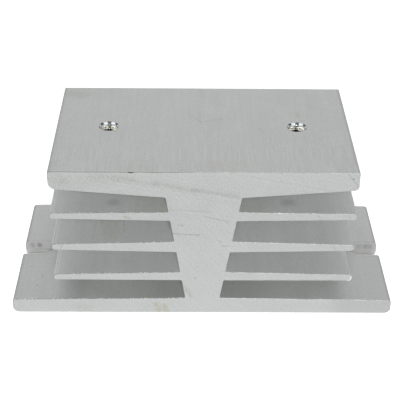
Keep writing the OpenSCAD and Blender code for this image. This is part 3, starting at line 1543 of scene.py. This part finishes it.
@dataclass(frozen=True)
class HeatSink:
    """The whole heat sink."""

    bar: Bar
    holes: DeviceHoles
    slots: FixingSlots
    burr: SawBurr
    crease_angle: float = 32.0
    edge_facing: float = 0.5
    end_facing: float = 0.9

    @classmethod
    def from_frame(cls) -> "HeatSink":
        """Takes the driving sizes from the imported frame.

        Returns:
            The heat sink.
        """
        low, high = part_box(NODE)
        size = (high - low) / MM
        mounts = {mount["name"]: mount for mount in frame["record"]["mounts"]}
        screws = mounts["device_screws"]["dims"]
        row_y = mounts["device_screws"]["pos_m"][1] / MM
        section = Section(height=size.z, base_w=size.x)
        slots = FixingSlots(flange_w=size.x, flange_t=section.base_root_t, row_y=row_y)
        skin = DrawnSkin(
            plate_w=section.plate_w,
            base_w=section.base_w,
            fin_span=section.fin_span,
            slot_axis=slots.axis,
            slot_r=slots.width / 2,
        )
        thread = CutThread(axis_x=screws["spacing_x_mm"] / 2, axis_y=row_y, top_z=size.z)
        return cls(
            bar=Bar(section, length=size.y, skin=skin),
            holes=DeviceHoles(
                spacing=screws["spacing_x_mm"],
                core_r=screws["hole_r_mm"],
                row_y=row_y,
                top_z=size.z,
                depth=section.plate_root_t,
                finish=thread,
            ),
            slots=slots,
            burr=SawBurr(length=size.y, top_z=size.z),
        )

    def build(self) -> bpy.types.Object:
        """Builds the heat sink as one piece of plain mesh and puts it on its body.

        Returns:
            The piece.
        """
        recipe = Recipe(
            "extruded_heat_sink",
            {"Length": self.bar.length, "Edge Break": self.bar.edge_break},
            {"Arc Steps": self.bar.arc_steps},
        )
        outline = self.bar.outline(recipe)
        body = self.bar.solid(recipe, outline)
        skin = self.bar.skin.material()
        body = recipe.dressed(body, skin)
        along = self._facing_along(recipe, self.edge_facing)
        body = recipe.dressed(body, self.bar.edges.material(), along)
        along = self._facing_along(recipe, self.end_facing)
        body = recipe.dressed(body, self.bar.ends.material(), along)
        body = recipe.combined("UNION", body, *self.slots.lips(recipe, skin))
        cutters = self.holes.cutters(recipe) + self.slots.cutters(recipe)
        body = recipe.combined("DIFFERENCE", body, *cutters)
        sliver = self.burr.sliver(recipe, *self.bar.section.lowest_tip)
        burrs = recipe.joined(self.burr.chips(recipe, outline), sliver)
        burrs = recipe.dressed(burrs, self.burr.finish.material())
        body = recipe.combined("UNION", body, burrs)
        body = self._smoothed(recipe, body)
        piece = bpy.data.objects.new("heat_sink_bar", recipe.kept(body, self.bar.section.wire()))
        bpy.context.scene.collection.objects.link(piece)
        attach(piece, BODY)
        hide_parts(NODE)
        return piece

    def _smoothed(self, recipe: Recipe, body: Field) -> Field:
        """Shades the narrow faces of arcs, holes and slots smooth, and leaves the flat ones flat.

        Args:
            recipe: The tree.
            body: The finished solid.

        Returns:
            The shaded solid.
        """
        area = recipe.add("GeometryNodeInputMeshFaceArea")
        narrow = recipe.where(area, "LESS_THAN", self.bar.arc_face_area)
        _, face_y, _ = recipe.parts(recipe.add("GeometryNodeInputNormal"))
        curved = recipe.both(narrow, recipe.where(abs(face_y), "LESS_THAN", self.edge_facing))
        body = recipe.add("GeometryNodeSetShadeSmooth", {"Geometry": body, "Shade Smooth": curved})
        crease = recipe.add("GeometryNodeInputMeshEdgeAngle")
        soft = recipe.where(crease, "LESS_THAN", math.radians(self.crease_angle))
        inputs = {"Geometry": body, "Shade Smooth": soft}
        return recipe.add("GeometryNodeSetShadeSmooth", inputs, domain="EDGE")

    @staticmethod
    def _facing_along(recipe: Recipe, least: float) -> Field:
        """True on faces that look along the bar by more than a share of their normal."""
        _, face_y, _ = recipe.parts(recipe.add("GeometryNodeInputNormal"))
        return recipe.where(abs(face_y), "GREATER_THAN", least)


# ---- The studio ----


def looking(
    azimuth: float, elevation: float, distance: float, target: Triple, roll: float = 0.0
) -> Matrix:
    """A place on a sphere round a target, looking at it.

    Args:
        azimuth: The angle from the front, in degrees, positive to the right.
        elevation: The angle above the floor, in degrees.
        distance: The sphere's radius.
        target: The sphere's middle.
        roll: The turn about the line of sight, in degrees.

    Returns:
        The matrix for a lamp or a camera, which looks along its own -Z.
    """
    tilt = Matrix.Rotation(math.radians(90 - elevation), 4, "X")
    turn = Matrix.Rotation(math.radians(azimuth), 4, "Z") @ tilt
    away = Matrix.Translation(Vector(target) + turn @ Vector((0.0, 0.0, distance)))
    return away @ turn @ Matrix.Rotation(math.radians(roll), 4, "Z")


@dataclass(frozen=True)
class Lamp:
    """A soft square lamp that looks at the middle of the object."""

    name: str
    azimuth: float
    elevation: float
    distance: float
    size: float
    power: float


@dataclass(frozen=True)
class Studio:
    """The white sweep, the soft lamps and the camera. Distances are in metres."""

    floor_size: float = 4.0
    floor_tone: float = 0.8
    floor_lift: float = 0.72
    floor_fade: Pair = (0.15, 0.5)
    floor_gap: float = 0.00002
    ambient: float = 0.12
    lamps: tuple[Lamp, ...] = (
        Lamp("front_softbox", 0.0, 27.0, 0.9, 0.25, 7.8),
        Lamp("rear_softbox", 180.0, 8.0, 0.9, 0.5, 3.0),
        Lamp("rear_left_softbox", -140.0, 45.0, 0.9, 0.5, 0.55),
        Lamp("rear_right_softbox", 140.0, 45.0, 0.9, 0.5, 0.42),
    )
    lamp_target: Triple = (0.0, 0.0, 0.02)
    camera_target: Triple = (-0.00056, 0.0, 0.01984)
    camera_distance: float = 0.2871
    camera_elevation: float = 31.824
    camera_azimuth: float = -0.824
    camera_roll: float = 0.707
    lens: float = 98.19

    def build(self) -> None:
        """Sets up the floor, the world, the lamps and the camera."""
        self._floor()
        self._world()
        for lamp in self.lamps:
            self._lamp(lamp)
        self._camera()
        bpy.context.scene.view_settings.view_transform = "Standard"

    def _seen(self, graph: Graph) -> Field:
        """1 for rays from the camera, a reflection or a refraction, and 0 for the rest.

        Args:
            graph: The shader tree.

        Returns:
            The value.
        """
        path = self.rays(graph)
        seen = graph.math("MAXIMUM", path["Is Camera Ray"], path["Is Glossy Ray"])
        return graph.math("MAXIMUM", seen, path["Is Transmission Ray"])

    @staticmethod
    def rays(graph: Graph) -> dict[str, Field]:
        """The kinds of ray that a Light Path node tells apart."""
        outputs = graph.node("ShaderNodeLightPath").outputs
        return {socket.name: Field(graph, socket) for socket in outputs}

    def _floor(self) -> None:
        """A white floor that shows as pure white where the light falls, and keeps the shadow."""
        half = self.floor_size / 2
        mesh = bpy.data.meshes.new("studio_floor")
        corners = ((-half, -half), (half, -half), (half, half), (-half, half))
        mesh.from_pydata([(x, y, -self.floor_gap) for x, y in corners], [], [(0, 1, 2, 3)])
        floor = bpy.data.objects.new("studio_floor", mesh)
        bpy.context.scene.collection.objects.link(floor)
        material = bpy.data.materials.new("studio_floor")
        material.use_nodes = True
        graph = Graph(material.node_tree)
        material.node_tree.nodes.clear()
        tone = (self.floor_tone, self.floor_tone, self.floor_tone, 1.0)
        matt = graph.add("ShaderNodeBsdfDiffuse", {"Color": tone})
        coordinates = graph.node("ShaderNodeTexCoord").outputs["Object"]
        away = graph.add("ShaderNodeVectorMath", {0: Field(graph, coordinates)}, operation="LENGTH")
        lift = graph.ramp(away, self.floor_fade, (self.floor_lift, 1.0))
        lift = graph.add("ShaderNodeEmission", {"Strength": self._seen(graph) * lift})
        surface = graph.add("ShaderNodeAddShader", {0: matt, 1: lift})
        graph.node("ShaderNodeOutputMaterial", {"Surface": surface})
        mesh.materials.append(material)

    def _world(self) -> None:
        """A white world to look at and to reflect, which lights the object less than that."""
        world = bpy.data.worlds.new("studio")
        world.use_nodes = True
        bpy.context.scene.world = world
        graph = Graph(world.node_tree)
        world.node_tree.nodes.clear()
        strength = self._seen(graph) * (1.0 - self.ambient) + self.ambient
        inputs = {"Color": (1.0, 1.0, 1.0, 1.0), "Strength": strength}
        sky = graph.add("ShaderNodeBackground", inputs)
        graph.node("ShaderNodeOutputWorld", {"Surface": sky})

    def _lamp(self, lamp: Lamp) -> None:
        """A square area lamp, on a sphere round the object.

        Args:
            lamp: What the lamp is like and where it is.
        """
        light = bpy.data.lights.new(lamp.name, "AREA")
        light.energy = lamp.power
        light.size = lamp.size
        thing = bpy.data.objects.new(lamp.name, light)
        bpy.context.scene.collection.objects.link(thing)
        thing.matrix_world = looking(lamp.azimuth, lamp.elevation, lamp.distance, self.lamp_target)

    def _camera(self) -> None:
        """The camera, at the front and above."""
        camera = bpy.data.objects.new("camera", bpy.data.cameras.new("camera"))
        camera.data.lens = self.lens
        bpy.context.scene.collection.objects.link(camera)
        camera.matrix_world = looking(
            self.camera_azimuth,
            self.camera_elevation,
            self.camera_distance,
            self.camera_target,
            self.camera_roll,
        )
        bpy.context.scene.camera = camera


def main() -> None:
    """Builds the heat sink and then the studio, and reports each piece."""
    logging.basicConfig(level=logging.INFO, format="%(name)s: %(message)s", stream=sys.stdout)
    piece = HeatSink.from_frame().build()
    mesh = piece.data
    LOG.info("%s: %d faces, materials %s", piece.name, len(mesh.polygons), mesh.materials.keys())
    Studio().build()


if __name__ == "__main__":
    main()
